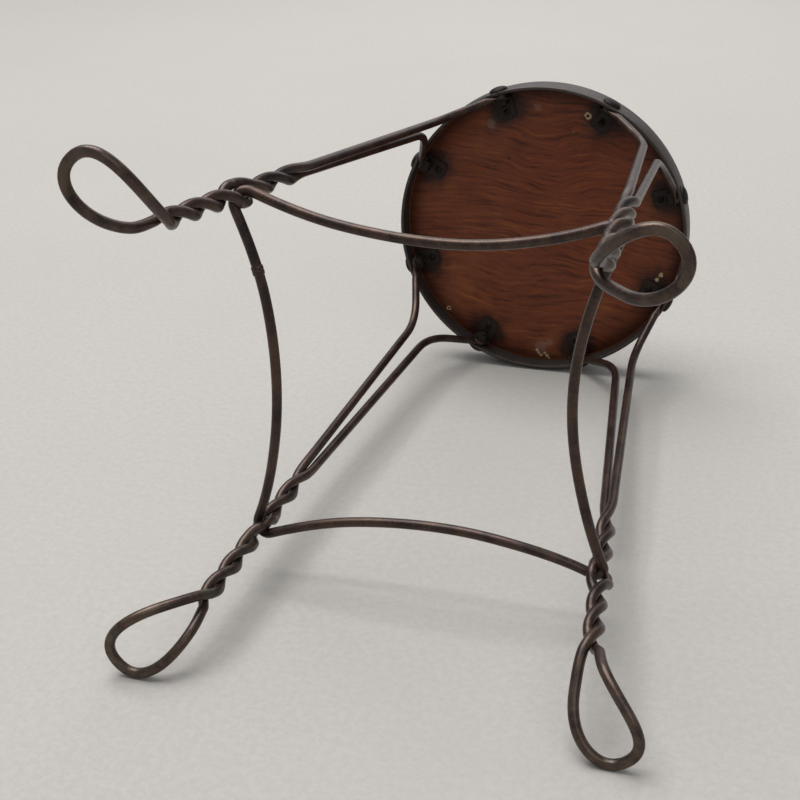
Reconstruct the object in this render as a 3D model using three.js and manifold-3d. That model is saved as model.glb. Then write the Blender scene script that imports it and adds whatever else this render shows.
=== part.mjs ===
// Twisted-wire soda-fountain stool: four bent-wire legs, a bowed stretcher ring,
// a flat steel hoop and a round plywood seat panel. Millimetres, +Z up.
import * as THREE from 'three';
import { mergeVertices } from 'three/addons/utils/BufferGeometryUtils.js';
import Module from 'manifold-3d';

// ---------------------------------------------------------------- driving dimensions
const WIRE_RADIUS = 4.2;
const WIRE_SIDES = 8;
const FIT_GAP = 0.3;

const HOOP_RADIUS = 152.5;
const HOOP_THICKNESS = 3;
const HOOP_BOTTOM = 578;
const HOOP_TOP = 610;
const RIM_SEGMENTS = 64;

const PANEL_UNDERSIDE = 597;
const PANEL_TOP = 612;
const PANEL_SIDE_GAP = 0.8;
const PANEL_EDGE_ROUND = 2.5;

const LEG_AZIMUTH = { front_right: -45, front_left: -135, rear_left: 135, rear_right: 45 };
// How far each foot has been bent from its true place in use: outwards, and sideways.
const FOOT_SET = {
  front_right: { spread: 4, sway: 1 },
  front_left: { spread: 2.5, sway: -1 },
  rear_left: { spread: -3, sway: -7.5 },
  rear_right: { spread: -5.5, sway: 8 },
};
// The whole frame is wrung a little about the seat's axis: sideways shift at each height.
const WRING = [[0, -9.6], [50, -17.8], [245, -10.5], [588, 0]];

const SHOULDER = { radius: 155.3, halfGap: 10.6, height: 535, bend: 28 };
const TWIST_TOP = { radius: 192.2, height: 245 };
const TWIST_BOTTOM = { radius: 210.2, height: 50 };
const STRAND_OFFSET = 4.65;
const TWIST_EASE = 22;
const TURNS_ABOVE_RING = 1.25;
const TURNS_BELOW_RING = 1.5;
// Here the strands cross, one behind the other, and part into the foot's loop.
const PARTING = { height: 56, lead: 0.07, fade: 0.36 };
const STRAND_STEP = 6;

const FOOT_HEIGHT = 2.8;
const TOE_RADIUS = 273.3;
const ANKLE_RADIUS = 222;
const LOOP_FLARE = { along: 0.15, out: 10.2 };
const LOOP_FULLNESS = 41.5;
const LOOP_STEPS = 12;

const RING_HEIGHT = 151.6;
const RING_MIDDLE_RADIUS = 118.5;
const RING_ARC_STEPS = 12;
const RING_BEND_STEPS = 7;
const RING_OPENING = 2 * WIRE_RADIUS + 1;
const RING_OPENING_HALF_HEIGHT = 8;
const RING_OPENING_EASE = 20;
// The ring climbs from one side of each leg to the other, to lie in with the twist.
const RING_LEAN = { lift: 3.2, fade: 0.28 };
const RING_SEAM = 0.2;

const BOLT_SPREAD = 22.5;
const BOLT_HEIGHT = 588;
const BOLT_RADIUS = 3;
const BOLT_LENGTH = 17.5;
const BOLT_HEAD = { radius: 9.5, height: 4.2 };
const BOLT_SIDES = 10;

const EYE_FACE = 148.1;
const EYE_THICKNESS = 3.5;
const EYE_RADIUS = 7.5;
const EYE_TAIL_LENGTH = 24;
const EYE_TAIL_HALF_WIDTH = 4.8;
const STRAND_START = 20.5;

const CLIP_THICKNESS = 2;
const CLIP_WIDTH = 19;
const CLIP_DROP = 14;
const CLIP_REACH = 24;
const CLIP_BEND = 2.4;

const NUT_SIZE = 11.5;
const NUT_THICKNESS = 5;

const SCREW_SETBACK = 16;
const SCREW_RADIUS = 1.8;
const SCREW_LENGTH = 10;
const SCREW_HEAD = { radius: 3.8, height: 2.2 };
const SCREW_SIDES = 8;

// ---------------------------------------------------------------- materials
const STEEL_WIRE = { color: 0x3a3230, roughness: 0.48, metalness: 0.75 };
const STEEL_HOOP = { color: 0x47423f, roughness: 0.55, metalness: 0.7 };
const STEEL_FIXING = { color: 0x2b2725, roughness: 0.6, metalness: 0.65 };
const PLYWOOD = { color: 0x5a2f1c, roughness: 0.5, metalness: 0 };

const stool = new THREE.Group();

function addPiece(parent, name, geometry, finish) {
  const mesh = new THREE.Mesh(geometry, new THREE.MeshStandardMaterial(finish));
  mesh.name = name;
  parent.add(mesh);
  return mesh;
}

// ---------------------------------------------------------------- solids
const wasm = await Module();
wasm.setup();

function toSolid(geometry) {
  const bare = geometry.clone();
  bare.deleteAttribute('normal');
  bare.deleteAttribute('uv');
  const merged = mergeVertices(bare, 1e-4);
  const vertProperties = new Float32Array(merged.attributes.position.array);
  const triVerts = new Uint32Array(merged.index.array);
  return new wasm.Manifold(new wasm.Mesh({ numProp: 3, vertProperties, triVerts }));
}

function toGeometry(solid) {
  const mesh = solid.getMesh();
  const geometry = new THREE.BufferGeometry();
  geometry.setAttribute('position', new THREE.BufferAttribute(new Float32Array(mesh.vertProperties), 3));
  geometry.setIndex(new THREE.BufferAttribute(new Uint32Array(mesh.triVerts), 1));
  return geometry;
}

// A cylinder lying along X, with a flat at its lowest side.
function rodAlongX(radius, length, sides) {
  return new THREE.CylinderGeometry(radius, radius, length, sides).rotateZ(Math.PI / 2);
}

function upright(radius, length, sides) {
  return new THREE.CylinderGeometry(radius, radius, length, sides).rotateX(Math.PI / 2);
}

// ---------------------------------------------------------------- shared helpers
const radians = THREE.MathUtils.degToRad;
const lerp = THREE.MathUtils.lerp;
const clamp = THREE.MathUtils.clamp;

function interpolate(table, x) {
  for (let i = 1; i < table.length; i += 1) {
    const [x0, y0] = table[i - 1];
    const [x1, y1] = table[i];
    if (x <= x1) return lerp(y0, y1, clamp((x - x0) / (x1 - x0), 0, 1));
  }
  return table[table.length - 1][1];
}

// A wire's centre line, given as points that are close where it bends.
class WirePath extends THREE.Curve {
  constructor(points) {
    super();
    this.points = points;
  }

  getPoint(t) {
    const place = t * (this.points.length - 1);
    const index = Math.min(Math.floor(place), this.points.length - 2);
    return this.points[index].clone().lerp(this.points[index + 1], place - index);
  }

  getTangent(t) {
    const index = Math.round(t * (this.points.length - 1));
    const before = this.points[Math.max(index - 1, 0)];
    const after = this.points[Math.min(index + 1, this.points.length - 1)];
    return after.clone().sub(before).normalize();
  }

  getPointAt(t) {
    return this.getPoint(t);
  }

  getTangentAt(t) {
    return this.getTangent(t);
  }
}

function roundSection(radius, sides) {
  const outline = [];
  for (let i = 0; i < sides; i += 1) {
    const angle = (2 * Math.PI * i) / sides;
    outline.push(new THREE.Vector2(radius * Math.cos(angle), radius * Math.sin(angle)));
  }
  return new THREE.Shape(outline);
}

function wire(points) {
  return new THREE.ExtrudeGeometry(roundSection(WIRE_RADIUS, WIRE_SIDES), {
    steps: points.length - 1,
    extrudePath: new WirePath(points),
    bevelEnabled: false,
  });
}

// ---------------------------------------------------------------- seat hoop and panel
function hoopGeometry() {
  const inner = HOOP_RADIUS - HOOP_THICKNESS;
  const profile = [
    new THREE.Vector2(inner, HOOP_BOTTOM),
    new THREE.Vector2(HOOP_RADIUS, HOOP_BOTTOM),
    new THREE.Vector2(HOOP_RADIUS, HOOP_TOP),
    new THREE.Vector2(inner, HOOP_TOP),
    new THREE.Vector2(inner, HOOP_BOTTOM),
  ];
  const halfSegment = Math.PI / RIM_SEGMENTS;
  const blank = new THREE.LatheGeometry(profile, RIM_SEGMENTS).rotateX(Math.PI / 2).rotateZ(halfSegment);
  let hoop = toSolid(blank);
  for (const azimuth of boltAzimuths()) {
    const hole = rodAlongX(BOLT_RADIUS + FIT_GAP, 4 * HOOP_THICKNESS, BOLT_SIDES);
    hole.translate(HOOP_RADIUS, 0, BOLT_HEIGHT).rotateZ(radians(azimuth));
    hoop = hoop.subtract(toSolid(hole));
  }
  return toGeometry(hoop);
}

function boltAzimuths() {
  const azimuths = [];
  for (let azimuth = BOLT_SPREAD; azimuth < 360; azimuth += 2 * BOLT_SPREAD) {
    azimuths.push(azimuth);
  }
  return azimuths;
}

function screwRadiusFromAxis() {
  return clipFace() - SCREW_SETBACK;
}

function panelGeometry() {
  const radius = HOOP_RADIUS - HOOP_THICKNESS - PANEL_SIDE_GAP;
  const profile = [
    new THREE.Vector2(0, PANEL_UNDERSIDE),
    new THREE.Vector2(radius - 0.6, PANEL_UNDERSIDE),
    new THREE.Vector2(radius, PANEL_UNDERSIDE + 0.6),
    new THREE.Vector2(radius, PANEL_TOP - PANEL_EDGE_ROUND),
    new THREE.Vector2(radius - 0.3 * PANEL_EDGE_ROUND, PANEL_TOP - 0.3 * PANEL_EDGE_ROUND),
    new THREE.Vector2(radius - PANEL_EDGE_ROUND, PANEL_TOP),
    new THREE.Vector2(0, PANEL_TOP),
  ];
  let panel = toSolid(new THREE.LatheGeometry(profile, RIM_SEGMENTS).rotateX(Math.PI / 2));
  const holeLength = 2 * (SCREW_LENGTH - CLIP_THICKNESS + 1);
  for (const azimuth of boltAzimuths()) {
    const hole = upright(SCREW_RADIUS + FIT_GAP, holeLength, SCREW_SIDES);
    hole.translate(screwRadiusFromAxis(), 0, PANEL_UNDERSIDE).rotateZ(radians(azimuth));
    panel = panel.subtract(toSolid(hole));
  }
  return toGeometry(panel);
}

// ---------------------------------------------------------------- leg centre lines
// A leg is laid out in its own frame: r outwards, t sideways, z up.
function legAxisRadius(height) {
  if (height > TWIST_TOP.height) {
    const rise = (height - TWIST_TOP.height) / (SHOULDER.height - TWIST_TOP.height);
    return lerp(TWIST_TOP.radius, SHOULDER.radius, rise);
  }
  const drop = (TWIST_TOP.height - height) / (TWIST_TOP.height - TWIST_BOTTOM.height);
  return lerp(TWIST_TOP.radius, TWIST_BOTTOM.radius, drop);
}

// Speed of twisting at a height: none in the ring's opening or above the twist, else one.
function twistRate(height) {
  const fromRing = Math.abs(height - RING_HEIGHT) - RING_OPENING_HALF_HEIGHT;
  const atRing = clamp(fromRing / RING_OPENING_HALF_HEIGHT, 0, 1);
  const atTop = clamp((TWIST_TOP.height + TWIST_EASE - height) / (2 * TWIST_EASE), 0, 1);
  return Math.min(atRing, atTop);
}

// Angle of the first strand round the leg's axis, for each whole millimetre of height.
function strandAngles() {
  const top = TWIST_TOP.height + TWIST_EASE;
  const ring = Math.round(RING_HEIGHT);
  const run = { above: 0, below: 0 };
  for (let height = PARTING.height; height <= top; height += 1) {
    run[height > ring ? 'above' : 'below'] += twistRate(height);
  }
  const angles = new Map();
  let turned = 0;
  for (let height = top; height >= PARTING.height; height -= 1) {
    angles.set(height, Math.PI / 2 - 2 * Math.PI * turned);
    const share = twistRate(height);
    turned += height > ring ? (share * TURNS_ABOVE_RING) / run.above : (share * TURNS_BELOW_RING) / run.below;
  }
  return angles;
}

const STRAND_ANGLES = strandAngles();

function strandAngle(height) {
  const rounded = Math.round(clamp(height, PARTING.height, TWIST_TOP.height + TWIST_EASE));
  return STRAND_ANGLES.get(rounded);
}

function strandOffset(height) {
  const fromRing = Math.abs(height - RING_HEIGHT) - RING_OPENING_HALF_HEIGHT;
  const closed = clamp(fromRing / RING_OPENING_EASE, 0, 1);
  const opened = 0.5 + 0.5 * Math.cos(Math.PI * closed);
  const rise = clamp((height - TWIST_TOP.height) / (SHOULDER.height - TWIST_TOP.height), 0, 1);
  return lerp(STRAND_OFFSET, RING_OPENING, opened) + rise * (SHOULDER.halfGap - STRAND_OFFSET);
}

function strandPoint(side, height) {
  const angle = strandAngle(height);
  const offset = side * strandOffset(height);
  const radius = legAxisRadius(height) + offset * Math.cos(angle);
  return new THREE.Vector3(radius, offset * Math.sin(angle), height);
}

function eyeCentre(side) {
  const distance = EYE_FACE - EYE_THICKNESS / 2;
  const angle = radians(BOLT_SPREAD);
  return new THREE.Vector3(distance * Math.cos(angle), side * distance * Math.sin(angle), BOLT_HEIGHT);
}

function shoulderPoint(side) {
  return new THREE.Vector3(SHOULDER.radius, side * SHOULDER.halfGap, SHOULDER.height);
}

// From the eye at the seat down to the loop at the foot, on one side of the leg.
function upperPoints(side) {
  const eye = eyeCentre(side);
  const shoulder = shoulderPoint(side);
  const toShoulder = shoulder.clone().sub(eye).normalize();
  const bendEnd = strandPoint(side, SHOULDER.height - SHOULDER.bend);
  const bendStart = shoulder.clone().addScaledVector(toShoulder, -SHOULDER.bend);
  const bend = new THREE.QuadraticBezierCurve3(bendStart, shoulder, bendEnd);
  const points = [eye.clone().addScaledVector(toShoulder, STRAND_START)];
  points.push(...bend.getPoints(6));
  const twistStart = TWIST_TOP.height + TWIST_EASE;
  for (const share of [0.35, 0.7]) {
    points.push(strandPoint(side, lerp(bendEnd.z, twistStart, share)));
  }
  const count = Math.round((twistStart - PARTING.height) / STRAND_STEP);
  for (let i = 0; i <= count; i += 1) {
    points.push(strandPoint(side, lerp(twistStart, PARTING.height, i / count)));
  }
  return points;
}

function loopPoints() {
  const along = new THREE.QuadraticBezierCurve(
    new THREE.Vector2(TWIST_BOTTOM.radius, TWIST_BOTTOM.height),
    new THREE.Vector2(ANKLE_RADIUS, FOOT_HEIGHT),
    new THREE.Vector2(TOE_RADIUS, FOOT_HEIGHT),
  );
  const outline = new THREE.CubicBezierCurve(
    new THREE.Vector2(0, STRAND_OFFSET),
    new THREE.Vector2(LOOP_FLARE.along, LOOP_FLARE.out),
    new THREE.Vector2(1, LOOP_FULLNESS),
    new THREE.Vector2(1, 0),
  );
  const half = outline.getPoints(LOOP_STEPS);
  const onSide = (place, side) => {
    const middle = along.getPoint(place.x);
    const parted = THREE.MathUtils.smoothstep(place.x + PARTING.lead, 0, PARTING.fade);
    return new THREE.Vector3(middle.x - side * (1 - parted) * STRAND_OFFSET, side * place.y, middle.y);
  };
  const mirrored = half.slice(0, -1).reverse();
  return [...half.map((place) => onSide(place, 1)), ...mirrored.map((place) => onSide(place, -1))];
}

// Adds the frame's wring and the foot's own set, which fades out at the top of the twist.
function bent(point, footSet) {
  const share = clamp((TWIST_TOP.height - point.z) / (TWIST_TOP.height - TWIST_BOTTOM.height), 0, 1);
  const outwards = point.x + share * footSet.spread;
  const sideways = point.y + share * footSet.sway + interpolate(WRING, point.z);
  return new THREE.Vector3(outwards, sideways, point.z);
}

// ---------------------------------------------------------------- legs
// The flattened end of the wire, with its bolt hole, in the leg's frame.
function eyeSolid(side) {
  const centre = eyeCentre(side);
  const azimuth = side * radians(BOLT_SPREAD);
  const toShoulder = bent(shoulderPoint(side), FOOT_SET.front_left).sub(centre);
  const sideways = toShoulder.dot(new THREE.Vector3(-Math.sin(azimuth), Math.cos(azimuth), 0));
  const tilt = Math.atan2(toShoulder.z, sideways);
  const shape = new THREE.Shape();
  shape.absarc(0, 0, EYE_RADIUS, radians(40), radians(320), false);
  shape.lineTo(EYE_TAIL_LENGTH, -EYE_TAIL_HALF_WIDTH + 1);
  shape.lineTo(EYE_TAIL_LENGTH, EYE_TAIL_HALF_WIDTH - 1);
  shape.closePath();
  const blank = new THREE.ExtrudeGeometry(shape, {
    depth: EYE_THICKNESS, bevelEnabled: false, curveSegments: 10,
  });
  const drill = upright(BOLT_RADIUS + FIT_GAP, 4 * EYE_THICKNESS, BOLT_SIDES);
  const eye = toGeometry(toSolid(blank).subtract(toSolid(drill)));
  eye.translate(0, 0, -EYE_THICKNESS / 2).rotateZ(tilt);
  eye.rotateY(Math.PI / 2).rotateX(Math.PI / 2);
  const distance = EYE_FACE - EYE_THICKNESS / 2;
  eye.translate(distance, 0, BOLT_HEIGHT).rotateZ(azimuth);
  return toSolid(eye);
}

function legGeometry(footSet) {
  const centreLine = [...upperPoints(1), ...loopPoints(), ...upperPoints(-1).reverse()];
  let leg = toSolid(wire(centreLine.map((point) => bent(point, footSet))));
  leg = leg.add(eyeSolid(1)).add(eyeSolid(-1));
  const floorSize = 2 * TOE_RADIUS;
  const floor = new THREE.BoxGeometry(floorSize, floorSize, floorSize).translate(floorSize / 2, 0, -floorSize / 2);
  return toGeometry(leg.subtract(toSolid(floor)));
}

// ---------------------------------------------------------------- stretcher ring
// Shift of the ring at an azimuth, blended between the two legs beside it.
function ringShift(azimuth) {
  const share = (TWIST_TOP.height - RING_HEIGHT) / (TWIST_TOP.height - TWIST_BOTTOM.height);
  let outwards = 0;
  let sideways = interpolate(WRING, RING_HEIGHT);
  for (const [leg, legAzimuth] of Object.entries(LEG_AZIMUTH)) {
    const apart = Math.abs(THREE.MathUtils.euclideanModulo(azimuth - legAzimuth + 180, 360) - 180);
    const weight = apart < 90 ? Math.cos(radians(apart)) ** 2 : 0;
    outwards += weight * share * FOOT_SET[leg].spread;
    sideways += weight * share * FOOT_SET[leg].sway;
  }
  return { outwards, sideways };
}

function ringPoint(radius, azimuth, lift) {
  const shift = ringShift(azimuth);
  const angle = radians(azimuth);
  const r = radius + shift.outwards;
  const t = shift.sideways * (radius / legAxisRadius(RING_HEIGHT));
  return new THREE.Vector3(
    r * Math.cos(angle) - t * Math.sin(angle),
    r * Math.sin(angle) + t * Math.cos(angle),
    RING_HEIGHT + lift,
  );
}

// One quarter: a bend round the inner strand of a leg, then an arc bowed towards the axis.
function ringQuarter(legAzimuth) {
  const bend = RING_OPENING;
  const strand = legAxisRadius(RING_HEIGHT) - RING_OPENING;
  const middle = RING_MIDDLE_RADIUS;
  const root2 = Math.SQRT2;
  const arcRadius = (bend ** 2 - middle ** 2 - strand ** 2 + root2 * middle * strand)
    / (2 * middle - root2 * strand - 2 * bend);
  const arcCentre = arcRadius + middle;
  const acrossX = strand - arcCentre * Math.SQRT1_2;
  const acrossY = arcCentre * Math.SQRT1_2;
  const leave = Math.atan2(acrossY, -acrossX);
  const points = [];
  for (let i = -RING_BEND_STEPS; i <= RING_BEND_STEPS; i += 1) {
    const angle = (leave * i) / RING_BEND_STEPS;
    const lift = RING_LEAN.lift * Math.sin(clamp(angle, -Math.PI / 2, Math.PI / 2));
    points.push(new THREE.Vector3(strand + bend * Math.cos(angle), bend * Math.sin(angle), lift));
  }
  const halfSweep = leave - Math.PI / 4;
  for (let i = 1; i < RING_ARC_STEPS; i += 1) {
    const share = i / RING_ARC_STEPS;
    const angle = Math.PI / 4 + lerp(halfSweep, -halfSweep, share) + Math.PI;
    const falling = THREE.MathUtils.smoothstep(1 - share, 0, RING_LEAN.fade);
    const rising = THREE.MathUtils.smoothstep(share, 0, RING_LEAN.fade);
    points.push(new THREE.Vector3(
      arcCentre * Math.SQRT1_2 + arcRadius * Math.cos(angle),
      arcCentre * Math.SQRT1_2 + arcRadius * Math.sin(angle),
      RING_LEAN.lift * (falling - rising),
    ));
  }
  return points.map((point) => {
    const azimuth = THREE.MathUtils.radToDeg(Math.atan2(point.y, point.x));
    return ringPoint(Math.hypot(point.x, point.y), legAzimuth + azimuth, point.z);
  });
}

function ringGeometry() {
  const points = [-135, -45, 45, 135].flatMap(ringQuarter);
  const seam = RING_BEND_STEPS * 2 + RING_ARC_STEPS - 2;
  const opened = [...points.slice(seam), ...points.slice(0, seam)];
  const first = opened[0];
  const last = opened[opened.length - 1];
  opened.push(first.clone().addScaledVector(last.clone().sub(first).normalize(), 2 * RING_SEAM));
  return wire(opened);
}

// ---------------------------------------------------------------- fixings
function boltGeometry() {
  const { radius, height } = BOLT_HEAD;
  const profile = [
    new THREE.Vector2(0, -BOLT_LENGTH),
    new THREE.Vector2(BOLT_RADIUS, -BOLT_LENGTH),
    new THREE.Vector2(BOLT_RADIUS, 0),
    new THREE.Vector2(radius, 0),
    new THREE.Vector2(radius, 0.15 * height),
    new THREE.Vector2(0.8 * radius, 0.6 * height),
    new THREE.Vector2(0.45 * radius, 0.92 * height),
    new THREE.Vector2(0, height),
  ];
  const bolt = new THREE.LatheGeometry(profile, BOLT_SIDES).rotateZ(-Math.PI / 2);
  return bolt.translate(HOOP_RADIUS + FIT_GAP, 0, BOLT_HEIGHT);
}

function clipFace() {
  return EYE_FACE - EYE_THICKNESS - FIT_GAP;
}

function clipGeometry() {
  const outer = clipFace();
  const top = PANEL_UNDERSIDE - FIT_GAP;
  const shape = new THREE.Shape();
  shape.moveTo(outer, top - CLIP_DROP);
  shape.lineTo(outer, top - CLIP_BEND);
  shape.quadraticCurveTo(outer, top, outer - CLIP_BEND, top);
  shape.lineTo(outer - CLIP_REACH, top);
  shape.lineTo(outer - CLIP_REACH, top - CLIP_THICKNESS);
  shape.lineTo(outer - CLIP_THICKNESS, top - CLIP_THICKNESS);
  shape.lineTo(outer - CLIP_THICKNESS, top - CLIP_DROP);
  shape.closePath();
  const strip = new THREE.ExtrudeGeometry(shape, {
    depth: CLIP_WIDTH, bevelEnabled: false, curveSegments: 3,
  });
  strip.translate(0, 0, -CLIP_WIDTH / 2).rotateX(Math.PI / 2);
  const boltHole = rodAlongX(BOLT_RADIUS + FIT_GAP, 4 * CLIP_THICKNESS, BOLT_SIDES);
  boltHole.translate(outer, 0, BOLT_HEIGHT);
  const screwHole = upright(SCREW_RADIUS + FIT_GAP, 4 * CLIP_THICKNESS, SCREW_SIDES);
  screwHole.translate(screwRadiusFromAxis(), 0, top);
  return toGeometry(toSolid(strip).subtract(toSolid(boltHole)).subtract(toSolid(screwHole)));
}

function nutGeometry() {
  const half = NUT_SIZE / 2;
  const shape = new THREE.Shape([
    new THREE.Vector2(-half, -half),
    new THREE.Vector2(half, -half),
    new THREE.Vector2(half, half),
    new THREE.Vector2(-half, half),
  ]);
  shape.holes.push(new THREE.Path().absarc(0, 0, BOLT_RADIUS + FIT_GAP, 0, 2 * Math.PI, true));
  const nut = new THREE.ExtrudeGeometry(shape, {
    depth: NUT_THICKNESS, bevelEnabled: false, curveSegments: BOLT_SIDES,
  });
  nut.rotateY(-Math.PI / 2);
  return nut.translate(clipFace() - CLIP_THICKNESS - FIT_GAP, 0, BOLT_HEIGHT);
}

function screwGeometry() {
  const { radius, height } = SCREW_HEAD;
  const seat = PANEL_UNDERSIDE - CLIP_THICKNESS - 2 * FIT_GAP;
  const profile = [
    new THREE.Vector2(0, seat - height),
    new THREE.Vector2(0.7 * radius, seat - 0.8 * height),
    new THREE.Vector2(radius, seat - 0.1 * height),
    new THREE.Vector2(radius, seat),
    new THREE.Vector2(SCREW_RADIUS, seat),
    new THREE.Vector2(SCREW_RADIUS, seat + SCREW_LENGTH - SCREW_RADIUS),
    new THREE.Vector2(0, seat + SCREW_LENGTH),
  ];
  const screw = new THREE.LatheGeometry(profile, SCREW_SIDES).rotateX(Math.PI / 2);
  return screw.translate(screwRadiusFromAxis(), 0, 0);
}

// ---------------------------------------------------------------- assembly
addPiece(stool, 'seat_hoop', hoopGeometry(), STEEL_HOOP);
addPiece(stool, 'seat_panel', panelGeometry(), PLYWOOD);

for (const [name, azimuth] of Object.entries(LEG_AZIMUTH)) {
  const leg = addPiece(stool, `leg_${name}`, legGeometry(FOOT_SET[name]), STEEL_WIRE);
  leg.rotation.z = radians(azimuth);
}

addPiece(stool, 'stretcher_ring', ringGeometry(), STEEL_WIRE);

boltAzimuths().forEach((azimuth, index) => {
  const fixing = new THREE.Group();
  fixing.rotation.z = radians(azimuth);
  addPiece(fixing, `hoop_bolt_${index + 1}`, boltGeometry(), STEEL_FIXING);
  addPiece(fixing, `seat_clip_${index + 1}`, clipGeometry(), STEEL_FIXING);
  addPiece(fixing, `square_nut_${index + 1}`, nutGeometry(), STEEL_FIXING);
  addPiece(fixing, `clip_screw_${index + 1}`, screwGeometry(), STEEL_FIXING);
  stool.add(fixing);
});

// The origin is under the middle of the stool's own box, on the floor.
const extent = new THREE.Box3().setFromObject(stool, true);
stool.position.set(-(extent.min.x + extent.max.x) / 2, -(extent.min.y + extent.max.y) / 2, 0);

export default stool;
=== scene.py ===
"""Twisted-wire soda-fountain stool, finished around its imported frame.

Metres, +Z up through the seat. Every piece is built about the stool's own axis and then
set down on AXIS, the middle of the seat hoop.
"""

import math

import bmesh
import bpy
import numpy as np
from bpy.props import FloatProperty, FloatVectorProperty, PointerProperty
from mathutils import Euler, Matrix, Vector, noise


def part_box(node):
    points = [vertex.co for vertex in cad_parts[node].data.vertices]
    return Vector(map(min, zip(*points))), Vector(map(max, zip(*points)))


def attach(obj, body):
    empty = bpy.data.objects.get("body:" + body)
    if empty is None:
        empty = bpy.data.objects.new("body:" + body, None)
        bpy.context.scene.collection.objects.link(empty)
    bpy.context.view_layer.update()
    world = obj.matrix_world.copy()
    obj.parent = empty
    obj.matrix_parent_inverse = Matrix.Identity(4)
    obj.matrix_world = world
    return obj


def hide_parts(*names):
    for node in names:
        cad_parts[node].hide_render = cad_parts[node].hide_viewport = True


bl_info = {
    "name": "Wire Stool Finish",
    "version": (1, 0, 0),
    "blender": (4, 5, 0),
    "location": "View3D > Sidebar > Stool",
    "description": "Builds the finished pieces of a twisted-wire stool around its frame",
    "category": "Object",
}

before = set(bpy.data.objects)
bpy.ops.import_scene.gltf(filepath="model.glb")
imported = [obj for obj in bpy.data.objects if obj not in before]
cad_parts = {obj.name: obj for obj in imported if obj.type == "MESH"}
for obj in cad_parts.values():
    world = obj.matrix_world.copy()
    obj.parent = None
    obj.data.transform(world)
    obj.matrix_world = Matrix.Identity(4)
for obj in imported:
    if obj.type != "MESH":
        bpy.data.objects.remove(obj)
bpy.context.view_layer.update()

MM = 0.001
HOOP_LOW, HOOP_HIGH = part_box("seat_hoop")
PANEL_LOW, PANEL_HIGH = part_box("seat_panel")
AXIS = Vector(((HOOP_LOW.x + HOOP_HIGH.x) / 2, (HOOP_LOW.y + HOOP_HIGH.y) / 2, 0))

# ------------------------------------------------------------------ driving sizes
HOOP_RADIUS = 152.5 * MM
HOOP_SEGMENTS = 192
PANEL_RADIUS = 149.25 * MM

LEG_AZIMUTH = {"front_right": -45, "front_left": -135, "rear_left": 135, "rear_right": 45}
# How far each foot has been bent from its true place in use: outwards, and sideways.
FOOT_SET = {
    "front_right": (4 * MM, 1 * MM),
    "front_left": (2.5 * MM, -1 * MM),
    "rear_left": (-3 * MM, -7.5 * MM),
    "rear_right": (-5.5 * MM, 8 * MM),
}
# The whole frame is wrung a little about the seat's axis: sideways shift at each height.
WRING_HEIGHTS = np.array([0, 50, 245, 588]) * MM
WRING_SHIFTS = np.array([-9.6, -17.8, -10.5, 0]) * MM

SHOULDER_RADIUS = 155.3 * MM
SHOULDER_HALF_GAP = 10.6 * MM
SHOULDER_HEIGHT = 535 * MM
SHOULDER_BEND = 28 * MM
TWIST_TOP_RADIUS = 192.2 * MM
TWIST_TOP_HEIGHT = 245 * MM
TWIST_BOTTOM_RADIUS = 210.2 * MM
TWIST_BOTTOM_HEIGHT = 50 * MM
TWIST_EASE = 22 * MM
TURNS_ABOVE_RING = 1.25
TURNS_BELOW_RING = 1.5
STRAND_OFFSET = 4.2 * MM
# The strands cross here, one behind the other, and part into the foot's loop.
PARTING_HEIGHT = 56 * MM
PARTING_LEAD = 0.07
PARTING_FADE = 0.36
STRAND_STEP = 4 * MM

FOOT_HEIGHT = 2.8 * MM
TOE_RADIUS = 273.1 * MM
ANKLE_RADIUS = 222 * MM
LOOP_FLARE_ALONG = 0.15
LOOP_FLARE_OUT = 10.2 * MM
LOOP_FULLNESS = 41.5 * MM
LOOP_STEPS = 16
SOLE_HEIGHT = 0.02 * MM
SOLE_EDGE = 0.35 * MM

RING_HEIGHT = 151.6 * MM
RING_MIDDLE_RADIUS = 118.5 * MM
RING_OPENING = 8.6 * MM
RING_OPENING_HALF_HEIGHT = 2 * MM
RING_OPENING_EASE = 19 * MM
RING_TWIST_EASE = 6 * MM
RING_BEND_STEPS = 6
RING_ARC_STEPS = 24
# The ring climbs from one side of each leg to the other, to lie in with the twist.
RING_LEAN = 3.2 * MM
RING_LEAN_FADE = 0.28
RING_SEAM_STEP = 19
RING_SEAM_SHARE = 0.45
WELD_BEAD_RADIUS = 4.85 * MM
WELD_BEAD_LENGTH = 4.2 * MM

FIXING_COUNT = 8
FIXING_STEP = 45
BOLT_AZIMUTH = 22.5
BOLT_HEIGHT = 588 * MM
BOLT_LENGTH = 17.3 * MM
BOLT_STANDOFF = 0.3 * MM
THREAD_PITCH = 1.27 * MM
THREAD_DEPTH = 0.84
THREAD_TURNS = 6

EYE_FACE = 149.0 * MM
EYE_INNER_FACE = 144.6 * MM
EYE_NECK_LENGTH = 20.5 * MM
EYE_NECK_STEPS = 10
EYE_NECK_WIDEN = 1.62
EYE_NECK_THIN = 0.42

CLIP_FACE = 144.5 * MM
CLIP_BEND = 2.4 * MM
CLIP_CORNER = 4.5 * MM
SCREW_SETBACK = 16.3 * MM
SCREW_LENGTH = 9.6 * MM
SCREW_RADIUS = 1.8 * MM
SCREW_HEAD_HEIGHT = 2.2 * MM
SCREW_HEAD_GAP = 0.4 * MM
SCREW_HOLE_RADIUS = 2.1 * MM
BOLT_HOLE_GAP = 0.3 * MM
BOLT_RIM = 0.7 * MM
DRILL_LENGTH = 20 * MM
TOUCHING_GAP = 0.1 * MM
# Each square nut has stopped at its own angle.
NUT_TURNS = (6, -7, 4, -3, 7, -5, 2, -6)
SCREW_TURNS = (20, 75, -40, 5, 130, 60, -15, 100)

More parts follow.
